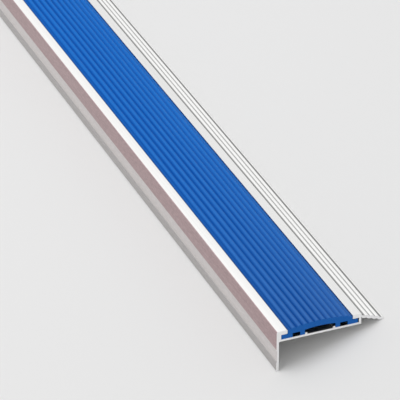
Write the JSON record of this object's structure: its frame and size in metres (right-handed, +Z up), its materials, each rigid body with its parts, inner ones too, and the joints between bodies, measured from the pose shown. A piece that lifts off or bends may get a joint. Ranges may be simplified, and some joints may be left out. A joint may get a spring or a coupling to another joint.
{
  "type": "stair nosing",
  "caption": "Straight aluminium stair nosing with a riser leg, a channel holding a ribbed blue PVC tread insert, and a wavy ramp at the back.",
  "frame": {"origin": "floor level, under the middle of the bar as it lies loose on a level floor", "axes": "+Y along the bar, +X from the riser leg towards the ramp, +Z up"},
  "size_m": [0.0794, 1, 0.0288],
  "materials": {
    "aluminium": "satin anodised extrusion",
    "insert": "ribbed soft PVC"
  },
  "bodies": {
    "root": {"nosing_profile": "aluminium", "tread_insert": "insert"}
  },
  "joints": []
}
